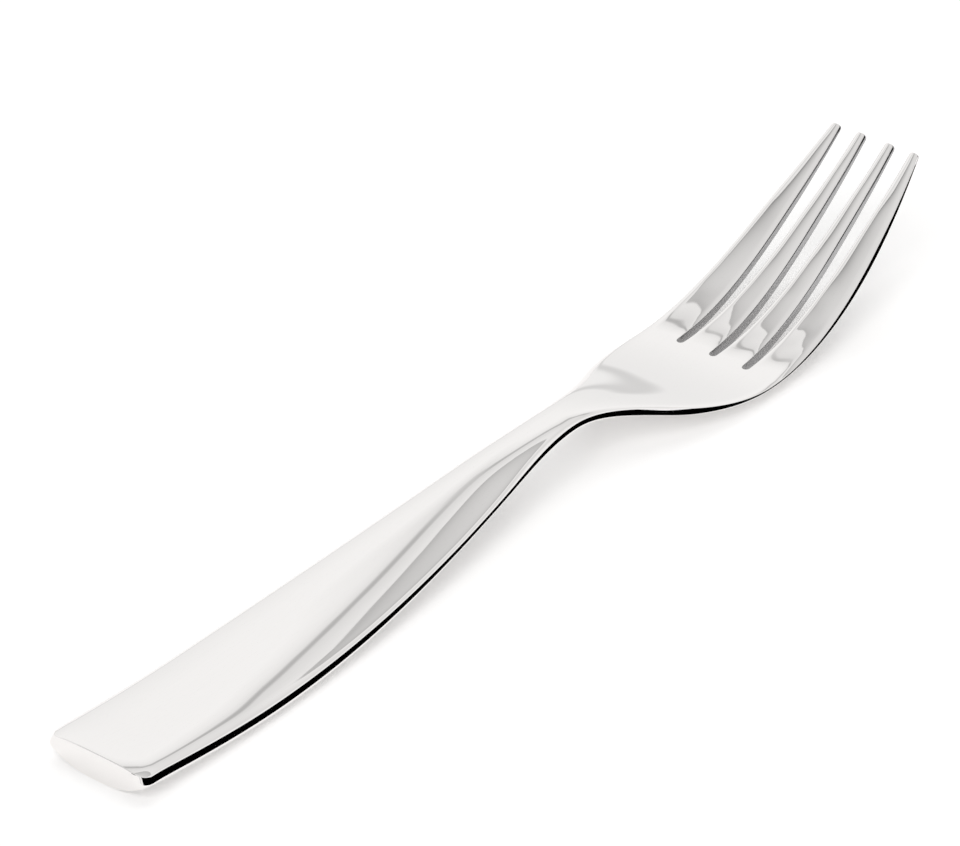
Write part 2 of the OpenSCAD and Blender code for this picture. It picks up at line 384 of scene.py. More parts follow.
    def top(self, x: float, y: float, tine: int | None = None) -> float:
        """Height of the top face over the edge line.

        Args:
            x: Distance from the middle line.
            y: Place along the fork.
            tine: Number of the tine, or None on the bar.

        Returns:
            The height at that place.
        """
        half = self.half_width(y)
        u = min(1.0, abs(x) / half)
        height = self.crown(y) * (1 - u ** self.power(y))
        height += self._level_curve(y, "ease") * (1 - self._eased(half - abs(x), self._level_curve(y, "ease_width")))
        height -= self.butt_ease * max(0.0, 1 - y / self.butt_ease_width) ** 3
        return height if tine is None else height + self._tine_top(x, y, tine)

    def under(self, x: float, y: float) -> float:
        """Height of the underside over the edge line, which is below zero.

        Args:
            x: Distance from the middle line.
            y: Place along the fork.

        Returns:
            The height at that place.
        """
        u = min(1.0, abs(x) / (self.half_width(y) + self.lean_reach(y)))
        return -self.wall(y) - self.belly(y) * (1 - u ** self.under_power)

    def section_at(self, y: float) -> Section:
        """Section of the bar that holds the place y."""
        ends = ((self.grip, Section.BUTT), (self.taper, Section.GRIP), (self.shoulder, Section.NECK))
        return next((section for station, section in ends if y < station.place), Section.HEAD)


@dataclass(frozen=True)
class RimPoint:
    """A point of the sheet's rim, where the edge strip starts.

    Attributes:
        index: Number of the sheet's point.
        tine: Number of the tine, or None on the bar.
        edge: Kind of edge.
        rounding: Radius of the edge.
        bevel: Height of the wall's leaning part.
        lean: Share of that part's lean.
        section: Section of the strip from this point to the next.
    """

    index: int
    tine: int | None
    edge: Edge
    rounding: float
    bevel: float
    lean: float
    section: Section


@dataclass
class ForkBlank:
    """The fork as a straight blank: a top sheet, an under sheet and one edge strip all the way round.

    A point's third coordinate is its height over the edge line, which the press then bends.

    Attributes:
        form: Sizes and rules of the fork.
        step: Distance between the sheet's rows.
        tine_columns: Number of strips across a tine.
        slot_columns: Number of strips across a slot's round end.
        corner_rows: Number of rows round a corner of the butt.
        tip_rows: Number of rows along a tip's rounding.
        fillet_steps: Number of steps round an edge.
        wall_steps: Number of steps down each part of the wall.
        dip_fade: Length over which the rows bend to the slots' round ends.
        dip_rows: Distances of those rows from the slots' start.
        probe: Distance over which a slope is measured.
        turn_share: Largest share of the wall that the top edge's rounding takes up.
        points: The sheet's points in plan.
        tine_of: Tine of each point, or None on the bar.
        quads: Faces of the sheet.
        quad_sections: Section of each face.
        rim: Points of the rim, in order.
    """

    form: ForkForm
    step: float = 1 * MM
    tine_columns: int = 16
    slot_columns: int = 6
    corner_rows: int = 8
    tip_rows: int = 8
    fillet_steps: int = 5
    wall_steps: int = 3
    dip_fade: float = 4 * MM
    dip_rows: tuple[float, ...] = (3.1 * MM, 2.3 * MM, 1.6 * MM, 1 * MM, 0.5 * MM, 0.0)
    probe: float = 0.02 * MM
    turn_share: float = 0.3
    points: list[tuple[float, float]] = field(default_factory=list)
    tine_of: list[int | None] = field(default_factory=list)
    quads: list[tuple[int, int, int, int]] = field(default_factory=list)
    quad_sections: list[Section] = field(default_factory=list)
    rim: list[RimPoint] = field(default_factory=list)

    def _steps(self, start: float, end: float) -> list[float]:
        """Even steps between two places.

        Args:
            start: The first place, which is left out.
            end: The last place.

        Returns:
            The places after the first one.
        """
        count = max(1, round((end - start) / self.step))
        return [start + (end - start) * (n + 1) / count for n in range(count)]

    def _shares(self) -> list[float]:
        """Places of a tine's columns as shares of its width, closer together at its edges."""
        return [(1 - math.cos(math.pi * n / self.tine_columns)) / 2 for n in range(self.tine_columns + 1)]

    def _sheet_sides(self, tine: int, y: float) -> tuple[float, float]:
        """Sides of a tine's sheet, which stop short of the tine's own by the edge's radius.

        Args:
            tine: Number of the tine.
            y: Place along the fork.

        Returns:
            The left side and the right side.
        """
        form = self.form
        left, right = form.tine_sides(tine, y)
        middle, half = (left + right) / 2, (right - left) / 2 * form.tip_share(y)
        outer = form.rounding(y)
        left_round = outer if tine == 0 else form.slot_rounding
        right_round = outer if tine == 3 else form.slot_rounding
        return middle - half + left_round, middle + half - right_round

    def _columns(self) -> list[tuple[float, float]]:
        """Columns of the bar's sheet.

        Returns:
            For each column its share of the half-width, and how deep the slot's round end dips there.
        """
        form = self.form
        reach = self._sheet_sides(3, form.slot_start)[1]
        end_radius = form.slot_width / 2 + form.slot_rounding
        columns: list[tuple[float, float]] = []
        for tine in range(4):
            left, right = self._sheet_sides(tine, form.slot_start)
            columns += [((left + (right - left) * share) / reach, 0.0) for share in self._shares()]
            if tine < 3:
                centre = (tine - 1) * form.slot_place
                for n in range(1, self.slot_columns):
                    turn = math.pi * n / self.slot_columns
                    columns.append(((centre - end_radius * math.cos(turn)) / reach, end_radius * math.sin(turn)))
        return columns

    def _bar_rows(self) -> list[tuple[float, float, float, float]]:
        """Rows of the bar's sheet.

        Returns:
            For each row its place, its half-width, the share of the slots' dip and the share of the wall's lean.
        """
        form = self.form
        radius = form.butt_corner - form.butt.rounding
        rows: list[tuple[float, float, float, float]] = []
        for n in range(self.corner_rows + 1):
            turn = math.pi / 2 * n / self.corner_rows
            y = form.butt.rounding + radius * (1 - math.cos(turn))
            room = form.butt_corner * (1 - math.cos(turn)) / max(math.cos(turn), 0.1)
            lean = min(1.0, room / form.lean_reach(y))
            rows.append((y, form.half_width(y) - form.rounding(y) - radius * (1 - math.sin(turn)), 0.0, lean))
        places = [form.butt_corner]
        for end in (form.grip.place, form.taper.place, form.shoulder.place, form.slot_start - self.dip_fade):
            places += self._steps(places[-1], end)
        for y in places[1:]:
            rows.append((y, form.half_width(y) - form.rounding(y), 0.0, 1.0))
        for left in self.dip_rows:
            y = form.slot_start - left
            rows.append((y, form.half_width(y) - form.rounding(y), (1 - left / self.dip_fade) ** 2, 1.0))
        return rows

    def _tine_rows(self) -> list[tuple[float, float]]:
        """Rows of a tine's sheet past the slot's start.

        Returns:
            For each row the place of its outline and the place of the row itself, which differ at the rounded tip.
        """
        form = self.form
        start = form.tip.place - form.tip_rounding
        rows = [(y, y) for y in self._steps(form.slot_start, start)]
        for n in range(1, self.tip_rows + 1):
            share = math.sin(math.pi / 2 * n / self.tip_rows)
            rows.append((start + form.tip_rounding * share, start + (form.tip_rounding - form.tip.rounding) * share))
        return rows

    def _add_point(self, x: float, y: float, tine: int | None) -> int:
        """Adds a point to the sheet.

        Args:
            x: Distance from the middle line.
            y: Place along the fork.
            tine: Number of the tine, or None on the bar.

        Returns:
            The point's number.
        """
        self.points.append((x, y))
        self.tine_of.append(tine)
        return len(self.points) - 1

    def _add_quads(self, rows: list[list[int]], sections: list[Section]) -> None:
        """Joins rows of points into quads.

        Args:
            rows: Point numbers, row by row.
            sections: Section of the strip between each row and the next.
        """
        for lower, upper, section in zip(rows, rows[1:], sections):
            for n in range(len(lower) - 1):
                self.quads.append((lower[n], lower[n + 1], upper[n + 1], upper[n]))
                self.quad_sections.append(section)

    def _lay_sheet(self) -> None:
        """Lays out the sheet's points and quads and its rim, anticlockwise from the butt's left corner."""
        form = self.form
        columns, bar_rows, tine_rows = self._columns(), self._bar_rows(), self._tine_rows()
        bar = [
            [self._add_point(share * reach, y - dip * fade, None) for share, dip in columns]
            for y, reach, fade, _ in bar_rows
        ]
        row_sections = [form.section_at((a[0] + b[0]) / 2) for a, b in zip(bar_rows, bar_rows[1:])]
        self._add_quads(bar, row_sections)
        stride = self.tine_columns + self.slot_columns
        tines: list[list[list[int]]] = []
        for tine in range(4):
            rows = [bar[-1][tine * stride:tine * stride + self.tine_columns + 1]]
            for outline_y, y in tine_rows:
                left, right = self._sheet_sides(tine, outline_y)
                rows.append([self._add_point(left + (right - left) * share, y, tine) for share in self._shares()])
            self._add_quads(rows, [TINES[tine]] * len(tine_rows))
            tines.append(rows)
        self._lay_rim(bar, bar_rows, row_sections, tines)

    def _lay_rim(
        self,
        bar: list[list[int]],
        bar_rows: list[tuple[float, float, float, float]],
        row_sections: list[Section],
        tines: list[list[list[int]]],
    ) -> None:
        """Lists the points of the rim in order.

        Args:
            bar: Point numbers of the bar's rows.
            bar_rows: Places and shares of those rows.
            row_sections: Section between each of those rows and the next.
            tines: Point numbers of each tine's rows.
        """
        form = self.form
        self.rim = [RimPoint(n, None, Edge.BUTT, form.butt.rounding, 0.0, 0.0, Section.BUTT) for n in bar[0][:-1]]
        for n, (y, _, _, lean) in enumerate(bar_rows[:-1]):
            self.rim.append(RimPoint(bar[n][-1], None, Edge.SIDE, form.rounding(y), form.wall(y), lean, row_sections[n]))
        for tine in (3, 2, 1, 0):
            self._lay_tine_rim(tine, tines[tine])
            if tine > 0:
                first = (self.tine_columns + self.slot_columns) * tine
                for n in bar[-1][first:first - self.slot_columns:-1]:
                    self.rim.append(RimPoint(n, None, Edge.SLOT, form.slot_rounding, 0.0, 0.0, Section.HEAD))
        for n in range(len(bar_rows) - 1, 0, -1):
            y, _, _, lean = bar_rows[n]
            self.rim.append(RimPoint(bar[n][0], None, Edge.SIDE, form.rounding(y), form.wall(y), lean, row_sections[n - 1]))

    def _lay_tine_rim(self, tine: int, rows: list[list[int]]) -> None:
        """Lists the rim of one tine: up its right side, across its tip and down its left side.

        Args:
            tine: Number of the tine.
            rows: Point numbers of the tine's rows, the first of which belongs to the bar.
        """
        form, section = self.form, TINES[tine]
        right, left = (Edge.SIDE if tine == 3 else Edge.SLOT), (Edge.SIDE if tine == 0 else Edge.SLOT)

        def side_point(n: int, index: int, edge: Edge) -> RimPoint:
            """Point of the rim on one of the tine's sides.

            Args:
                n: Number of the row.
                index: Number of the sheet's point.
                edge: Kind of edge.

            Returns:
                The rim's point.
            """
            y = self.points[index][1]
            lean = min(1.0, (len(rows) - 1 - n) / self.tip_rows)
            if edge is Edge.SIDE:
                return RimPoint(index, tine, edge, form.rounding(y), form.wall(y), lean, section)
            return RimPoint(index, tine, edge, form.slot_rounding, form.slot_bevel * form.slot_share(y), lean, section)

        ends = range(len(rows) - 1)
        self.rim += [side_point(n, rows[n][-1], right) for n in ends]
        self.rim += [RimPoint(n, tine, Edge.TIP, form.tip.rounding, 0.0, 0.0, section) for n in reversed(rows[-1])]
        self.rim += [side_point(n, rows[n][0], left) for n in reversed(ends) if n > 0]

    def _outward(self, n: int) -> tuple[float, float]:
        """Direction out of the rim at one of its points.

        Args:
            n: Number of the rim's point.

        Returns:
            The direction in plan, of length one.
        """
        before, here, after = (Vector(self.points[self.rim[(n + k) % len(self.rim)].index]) for k in (-1, 0, 1))
        along = (here - before).normalized() + (after - here).normalized()
        along.normalize()
        return along.y, -along.x

    def _strip_profile(self, n: int) -> list[tuple[float, float, float]]:
        """Profile of the edge strip: the top edge's rounding, the wall and the lower edge's rounding.

        Args:
            n: Number of the rim's point.

        Returns:
            Points of the blank from the top sheet's rim to the under sheet's, without both ends.
        """
        form, rim = self.form, self.rim[n]
        x, y = self.points[rim.index]
        out_x, out_y = self._outward(n)
        probe = self.probe
        radius, lean = rim.rounding, math.radians(form.lean) * rim.lean
        reach = rim.bevel * math.tan(lean)
        back_x, back_y = x - out_x * probe, y - out_y * probe
        top, under = form.top(x, y, rim.tine), form.under(x, y)
        top_slope = (top - form.top(back_x, back_y, rim.tine)) / probe
        under_slope = (under - form.under(back_x, back_y)) / probe
        corner = Vector((radius, top + top_slope * radius))
        foot = Vector((radius + reach, under + under_slope * (radius + reach)))
        knee = Vector((radius + reach, max(corner.y - rim.bevel, foot.y + form.foot_rounding)))
        bevel, rest = (corner - knee).length, (knee - foot).length
        turn = min(radius, self.turn_share * (bevel + rest))
        bend = max(bevel, turn + probe)
        finish = max(bevel + rest - form.foot_rounding, bend + probe)

        def arc(a: Vector, b: Vector, c: Vector) -> list[Vector]:
            """Points round the corner b, from a to c."""
            shares = [k / self.fillet_steps for k in range(self.fillet_steps + 1)]
            return [a * (1 - s) ** 2 + b * (2 * s * (1 - s)) + c * s * s for s in shares]

        def down(length: float) -> Vector:
            """Point at a distance down the wall from its upper corner."""
            return corner.lerp(knee, length / bevel) if length < bevel else knee.lerp(foot, (length - bevel) / rest)

        shares = [(k + 1) / self.wall_steps for k in range(self.wall_steps)]
        upper = arc(Vector((0, top)), corner, down(turn))
        wall = [down(turn + (bend - turn) * share) for share in shares]
        wall += [down(bend + (finish - bend) * share) for share in shares]
        lower = arc(down(finish), foot, Vector((0, under)))
        profile = upper[1:] + wall + lower[1:-1]
        return [(x + out_x * point.x, y + out_y * point.x, point.y) for point in profile]

    def build(self) -> bpy.types.Object:
        """Builds the blank.

        Returns:
            An object whose faces carry the number of their section and a mark for ground slot walls.
        """
        self._lay_sheet()
        form, count = self.form, len(self.points)
        verts = [(x, y, form.top(x, y, tine)) for (x, y), tine in zip(self.points, self.tine_of)]
        verts += [(x, y, form.under(x, y)) for x, y in self.points]
        faces: list[tuple[int, ...]] = list(self.quads)
        faces += [tuple(n + count for n in reversed(quad)) for quad in self.quads]
        sections = [section.number for section in self.quad_sections] * 2
        # Marks the slot walls, whose darker ground finish is partly painted shade between the tines.
        ground = [False] * len(faces)
        strips: list[list[int]] = []
        for n, rim in enumerate(self.rim):
            profile = self._strip_profile(n)
            strips.append([rim.index, *range(len(verts), len(verts) + len(profile)), rim.index + count])
            verts += profile
        for n, rim in enumerate(self.rim):
            here, after = strips[n], strips[(n + 1) % len(strips)]
            for k in range(len(here) - 1):
                faces.append((here[k], here[k + 1], after[k + 1], after[k]))
                sections.append(rim.section.number)
                ground.append(rim.edge is Edge.SLOT and k >= self.fillet_steps - 1)
        mesh = bpy.data.meshes.new("fork_blank")
        mesh.from_pydata(verts, [], faces)
        mesh.attributes.new("section", "INT", "FACE").data.foreach_set("value", sections)
        mesh.attributes.new("ground", "BOOLEAN", "FACE").data.foreach_set("value", ground)
        mesh.polygons.foreach_set("use_smooth", [True] * len(faces))
        blank = bpy.data.objects.new("fork_blank", mesh)
        bpy.context.scene.collection.objects.link(blank)
        return blank


@dataclass
class NodeBench:
    """A node tree with short calls that add its nodes.

    Attributes:
        tree: The node tree.
    """

    tree: bpy.types.NodeTree

    def add(self, kind: str, **settings: object) -> bpy.types.Node:
        """Adds a node.

        Args:
            kind: Blender's name of the node's type.
            settings: Values of the node's own properties.

        Returns:
            The node.
        """
        node = self.tree.nodes.new(kind)
        for name, value in settings.items():
            setattr(node, name, value)
        return node

    def feed(self, socket: bpy.types.NodeSocket, value: object) -> None:
        """Gives a socket its value.

        Args:
            socket: The input socket.
            value: An output socket to link, or a plain value.
        """
        if isinstance(value, bpy.types.NodeSocket):
            self.tree.links.new(value, socket)
        else:
            socket.default_value = value

    def math(self, operation: str, *values: object, clamp: bool = False) -> bpy.types.NodeSocket:
        """Adds a Math node.

        Args:
            operation: The node's operation.
            values: Its inputs, in order.
            clamp: Whether the result stays between 0 and 1.

        Returns:
            The result's socket.
        """
        node = self.add("ShaderNodeMath", operation=operation, use_clamp=clamp)
        for socket, value in zip(node.inputs, values):
            self.feed(socket, value)
        return node.outputs[0]

    def socket(self, name: str, kind: str, in_out: str = "INPUT", default: float | None = None) -> str:
        """Adds a named socket to the tree's interface.

        Args:
            name: The socket's name.
            kind: Short name of the socket's type, such as Float.
            in_out: INPUT or OUTPUT.
            default: The default value, where it has one.

        Returns:
            The socket's identifier.
        """
        socket = self.tree.interface.new_socket(name, in_out=in_out, socket_type=f"NodeSocket{kind}")
        if default is not None:
            socket.default_value = default
        return socket.identifier

    def span(
        self, value: object, start: object, end: object, low: float = 0.0, high: float = 1.0, smooth: bool = False
    ) -> bpy.types.NodeSocket:
        """Adds a Map Range node.

        Args:
            value: What is mapped.
            start: Value that gives the low result.
            end: Value that gives the high result.
            low: Result at the start.
            high: Result at the end.
            smooth: Whether the result eases in and out.

        Returns:
            The result's socket, which stays between both results.
        """
        node = self.add("ShaderNodeMapRange", interpolation_type="SMOOTHSTEP" if smooth else "LINEAR")
        for name, given in (("Value", value), ("From Min", start), ("From Max", end), ("To Min", low), ("To Max", high)):
            self.feed(node.inputs[name], given)
        return node.outputs[0]

    @classmethod
    def group(cls, name: str, kind: str, inputs: tuple[str, ...], output: str) -> "NodeBench":
        """Starts a node group that takes numbers and gives one number.

        Args:
            name: The group's name.
            kind: Blender's name of the tree's type.
            inputs: Names of its inputs.
            output: Name of its output.

        Returns:
            The bench of the new group.
        """
        bench = cls(bpy.data.node_groups.new(name, kind))
        for title in inputs:
            bench.socket(title, "Float")
        bench.socket(output, "Float", "OUTPUT")
        return bench


@dataclass
class ProfilePress:
    """A Geometry Nodes tree that bends a straight blank to the fork's side profile.

    Attributes:
        form: Sizes of the fork.
        shift: How far the fork moves along its length.
        smoothing: Distance over which the edge line is evened out.
        probe: Distance over which its slope is measured.
        square_length: Length past the neck over which the sections turn square to the edge line.
    """

    form: ForkForm
    shift: float
    smoothing: float = 3 * MM
    probe: float = 0.5 * MM
    square_length: float = 8 * MM

    def _stretch_group(self) -> bpy.types.NodeTree:
        """Builds the group that gives the rise along one cubic stretch.

        Returns:
            The group: zero before the stretch, the whole rise after it.
        """
        names = ("Place", "Start", "End", "Height at start", "Height at end", "Slope at start", "Slope at end")
        bench = NodeBench.group("Cubic stretch", "GeometryNodeTree", names, "Rise")
        given = bench.add("NodeGroupInput").outputs
        length = bench.math("SUBTRACT", given["End"], given["Start"])
        gone = bench.math("SUBTRACT", given["Place"], given["Start"])
        t = bench.math("DIVIDE", gone, length, clamp=True)
        left = bench.math("SUBTRACT", 1.0, t)
        square = bench.math("MULTIPLY", t, t)
        ease = bench.math("MULTIPLY", square, bench.math("MULTIPLY_ADD", t, -2.0, 3.0))
        height = bench.math("SUBTRACT", given["Height at end"], given["Height at start"])
        fall = bench.math("MULTIPLY", t, bench.math("MULTIPLY", left, left))
        lead_in = bench.math("MULTIPLY", fall, given["Slope at start"])
        lead_out = bench.math("MULTIPLY", bench.math("MULTIPLY", square, left), given["Slope at end"])
        lead = bench.math("MULTIPLY", length, bench.math("SUBTRACT", lead_in, lead_out))
        rise = bench.math("MULTIPLY_ADD", height, ease, lead)
        bench.feed(bench.add("NodeGroupOutput").inputs["Rise"], rise)
        return bench.tree

    def _size_names(self) -> list[str]:
        """Names of the sizes that the profile's trees take."""
        return [f"{station.name} {what}" for station in self.form.stations for what in ("place", "height", "slope")]

    def _sizes(self) -> dict[str, float]:
        """Gathers the values of those sizes.

        Returns:
            The values by name.
        """
        sizes: dict[str, float] = {}
        for station in self.form.stations:
            sizes[f"{station.name} place"] = station.place
            sizes[f"{station.name} height"] = station.height
            sizes[f"{station.name} slope"] = math.tan(math.radians(station.rise))
        return sizes

    def _edge_line_group(self) -> bpy.types.NodeTree:
        """Builds the group that gives the edge line's height at a place.

        Returns:
            The group, which joins the cubic stretches and runs straight on past both ends.
        """
        stretch, stations = self._stretch_group(), self.form.stations
        bench = NodeBench.group("Edge line", "GeometryNodeTree", ("Place", *self._size_names()), "Height")
        given = bench.add("NodeGroupInput").outputs
        first, last = stations[0].name, stations[-1].name
        before = bench.math("MINIMUM", bench.math("SUBTRACT", given["Place"], given[f"{first} place"]), 0.0)
        height = bench.math("MULTIPLY_ADD", before, given[f"{first} slope"], given[f"{first} height"])
        for start, end in zip(stations, stations[1:]):
            node = bench.add("GeometryNodeGroup", node_tree=stretch)
            bench.feed(node.inputs["Place"], given["Place"])
            for station, side in ((start, "start"), (end, "end")):
                bench.feed(node.inputs[side.capitalize()], given[f"{station.name} place"])
                bench.feed(node.inputs[f"Height at {side}"], given[f"{station.name} height"])
                bench.feed(node.inputs[f"Slope at {side}"], given[f"{station.name} slope"])
            height = bench.math("ADD", height, node.outputs["Rise"])
        past = bench.math("MAXIMUM", bench.math("SUBTRACT", given["Place"], given[f"{last} place"]), 0.0)
        height = bench.math("MULTIPLY_ADD", past, given[f"{last} slope"], height)
        bench.feed(bench.add("NodeGroupOutput").inputs["Height"], height)
        return bench.tree

    def _smooth_line_group(self) -> bpy.types.NodeTree:
        """Builds the group that evens out the edge line, so that reflections flow across its stations.

        Returns:
            The group: a weighted mean of the height before, at and after the place.
        """
        line = self._edge_line_group()
        names = ("Place", "Smoothing", *self._size_names())
        bench = NodeBench.group("Smooth edge line", "GeometryNodeTree", names, "Height")
        given = bench.add("NodeGroupInput").outputs
        height: object = 0.0
        for side, weight in ((-1.0, 1 / 6), (0.0, 2 / 3), (1.0, 1 / 6)):
            node = bench.add("GeometryNodeGroup", node_tree=line)
            bench.feed(node.inputs["Place"], bench.math("MULTIPLY_ADD", given["Smoothing"], side, given["Place"]))
            for name in self._size_names():
                bench.feed(node.inputs[name], given[name])
            height = bench.math("MULTIPLY_ADD", node.outputs["Height"], weight, height)
        bench.feed(bench.add("NodeGroupOutput").inputs["Height"], height)
        return bench.tree

    def build(self) -> tuple[bpy.types.NodeTree, dict[str, str]]:
        """Builds the press.

        Returns:
            The tree, and the identifier of each of its inputs by name.
        """
        line = self._smooth_line_group()
        bench = NodeBench(bpy.data.node_groups.new("Press to profile", "GeometryNodeTree"))
        bench.tree.is_modifier = True
        inputs = {"Blank": bench.socket("Blank", "Geometry")}
        for name in ("Smoothing", *self._size_names(), "Square from", "Square by", "Shift"):
            inputs[name] = bench.socket(name, "Float")
        for name in ("Polished", "Ground"):
            inputs[name] = bench.socket(name, "Material")
        bench.socket("Fork", "Geometry", "OUTPUT")
        given = bench.add("NodeGroupInput").outputs
        point = bench.add("ShaderNodeSeparateXYZ")
        bench.feed(point.inputs[0], bench.add("GeometryNodeInputPosition").outputs[0])
        x, y, h = point.outputs

        def height_at(place: object) -> bpy.types.NodeSocket:
            """Adds the nodes that give the edge line's height.

            Args:
                place: Place along the fork.

            Returns:
                The height's socket.
            """
            node = bench.add("GeometryNodeGroup", node_tree=line)
            bench.feed(node.inputs["Place"], place)
            for name in ("Smoothing", *self._size_names()):
                bench.feed(node.inputs[name], given[name])
            return node.outputs["Height"]

        ahead, behind = (height_at(bench.math("ADD", y, side * self.probe)) for side in (1, -1))
        climb = bench.math("SUBTRACT", ahead, behind)
        square = bench.span(y, given["Square from"], given["Square by"], smooth=True)
        angle = bench.math("MULTIPLY", bench.math("ARCTANGENT", bench.math("DIVIDE", climb, 2 * self.probe)), square)
        back = bench.math("MULTIPLY", h, bench.math("SINE", angle))
        along = bench.math("SUBTRACT", bench.math("ADD", y, given["Shift"]), back)
        up = bench.math("MULTIPLY_ADD", h, bench.math("COSINE", angle), height_at(y))
        pressed = bench.add("ShaderNodeCombineXYZ")
        for socket, value in zip(pressed.inputs, (x, along, up)):
            bench.feed(socket, value)
        place = bench.add("GeometryNodeSetPosition")
        bench.feed(place.inputs["Geometry"], given["Blank"])
        bench.feed(place.inputs["Position"], pressed.outputs[0])
        real = bench.add("GeometryNodeRealizeInstances")
        bench.feed(real.inputs["Geometry"], place.outputs["Geometry"])
        polish = bench.add("GeometryNodeSetMaterial")
        bench.feed(polish.inputs["Geometry"], real.outputs["Geometry"])
        bench.feed(polish.inputs["Material"], given["Polished"])
        # The slot walls take the ground finish, whose dark colour is painted shade between the tines.
        marked = bench.add("GeometryNodeInputNamedAttribute", data_type="BOOLEAN")
        marked.inputs["Name"].default_value = "ground"
        grind = bench.add("GeometryNodeSetMaterial")
        bench.feed(grind.inputs["Geometry"], polish.outputs["Geometry"])
        bench.feed(grind.inputs["Selection"], marked.outputs["Attribute"])
        bench.feed(grind.inputs["Material"], given["Ground"])
        bench.feed(bench.add("NodeGroupOutput").inputs["Fork"], grind.outputs["Geometry"])
        return bench.tree, inputs

    def press(self, blank: bpy.types.Object, polished: bpy.types.Material, ground: bpy.types.Material) -> bpy.types.Mesh:
        """Presses a blank to the profile.

        Args:
            blank: The straight blank.
            polished: Finish of the whole fork.
            ground: Finish of the slots' walls: rough, with a darker colour that is painted shade between the tines.

        Returns:
            The pressed form as a plain mesh. The blank's object is gone.
        """
        tree, inputs = self.build()
        modifier = blank.modifiers.new("Press", "NODES")
        modifier.node_group = tree
        neck = self.form.neck.place
        values = {**self._sizes(), "Smoothing": self.smoothing, "Shift": self.shift}
        values |= {"Square from": neck, "Square by": neck + self.square_length}
        for name, value in (*values.items(), ("Polished", polished), ("Ground", ground)):
            modifier[inputs[name]] = value
        scene = bpy.context.evaluated_depsgraph_get()
        mesh = bpy.data.meshes.new_from_object(blank.evaluated_get(scene), depsgraph=scene)
        blank.modifiers.remove(modifier)
        bpy.data.objects.remove(blank)
        return mesh


@dataclass(frozen=True)
class PolishWaves:
    """Slow waves that a buffing wheel leaves in a polished face, within a stretch along the fork."""

    def group(self) -> bpy.types.NodeTree:
        """Builds the shader group.

        Returns:
            The group: the waves' length and the stretch that they fill go in, their height comes out.
        """
        bench = NodeBench.group("Polish waves", "ShaderNodeTree", ("Length", "From", "To", "Fade"), "Height")
        given = bench.add("NodeGroupInput").outputs
        place = bench.add("ShaderNodeTexCoord").outputs["Object"]
        noise = bench.add("ShaderNodeTexNoise", noise_dimensions="3D")
        bench.feed(noise.inputs["Vector"], place)
        bench.feed(noise.inputs["Scale"], bench.math("DIVIDE", 1.0, given["Length"]))
        noise.inputs["Detail"].default_value = 0.0
        point = bench.add("ShaderNodeSeparateXYZ")
        bench.feed(point.inputs[0], place)
        middle = bench.math("MULTIPLY", bench.math("ADD", given["From"], given["To"]), 0.5)
        reach = bench.math("MULTIPLY", bench.math("SUBTRACT", given["To"], given["From"]), 0.5)
        outside = bench.math("SUBTRACT", bench.math("ABSOLUTE", bench.math("SUBTRACT", point.outputs["Y"], middle)), reach)
        inside = bench.math("SUBTRACT", 1.0, bench.math("DIVIDE", outside, given["Fade"]), clamp=True)
        swing = bench.math("SUBTRACT", noise.outputs["Fac"], 0.5)
        bench.feed(bench.add("NodeGroupOutput").inputs["Height"], bench.math("MULTIPLY", swing, inside))
        return bench.tree


@dataclass(frozen=True)
class FineScratches:
    """Hairline marks that run along the fork.

    Attributes:
        noise_span: Values of the noise between which a mark deepens.
        detail: Detail of the noise.
    """

    noise_span: tuple[float, float] = (0.35, 0.75)
    detail: float = 3.0

    def group(self) -> bpy.types.NodeTree:
        """Builds the shader group.

        Returns:
            The group: the marks' width and length go in, a mask of them comes out.
        """
        bench = NodeBench.group("Fine scratches", "ShaderNodeTree", ("Width", "Length"), "Mask")
        given = bench.add("NodeGroupInput").outputs
        scale = bench.add("ShaderNodeCombineXYZ")
        for socket, name in zip(scale.inputs, ("Width", "Length", "Width")):
            bench.feed(socket, bench.math("DIVIDE", 1.0, given[name]))
        place = bench.add("ShaderNodeVectorMath", operation="MULTIPLY")
        bench.feed(place.inputs[0], bench.add("ShaderNodeTexCoord").outputs["Object"])
        bench.feed(place.inputs[1], scale.outputs[0])
        noise = bench.add("ShaderNodeTexNoise", noise_dimensions="3D")
        bench.feed(noise.inputs["Vector"], place.outputs[0])
        noise.inputs["Scale"].default_value = 1.0
        noise.inputs["Detail"].default_value = self.detail
        mask = bench.span(noise.outputs["Fac"], *self.noise_span, smooth=True)
        bench.feed(bench.add("NodeGroupOutput").inputs["Mask"], mask)
        return bench.tree


@dataclass(frozen=True)
class Waves:
    """One set of waves in a finish.

    Attributes:
        length: Length of a wave.
        depth: Height of a wave.
        start: Where the waves start along the fork.
        end: Where they end.
        fade: Length over which they fade out.
    """

    length: float
    depth: float
    start: float = -1.0
    end: float = 1.0
    fade: float = 5 * MM


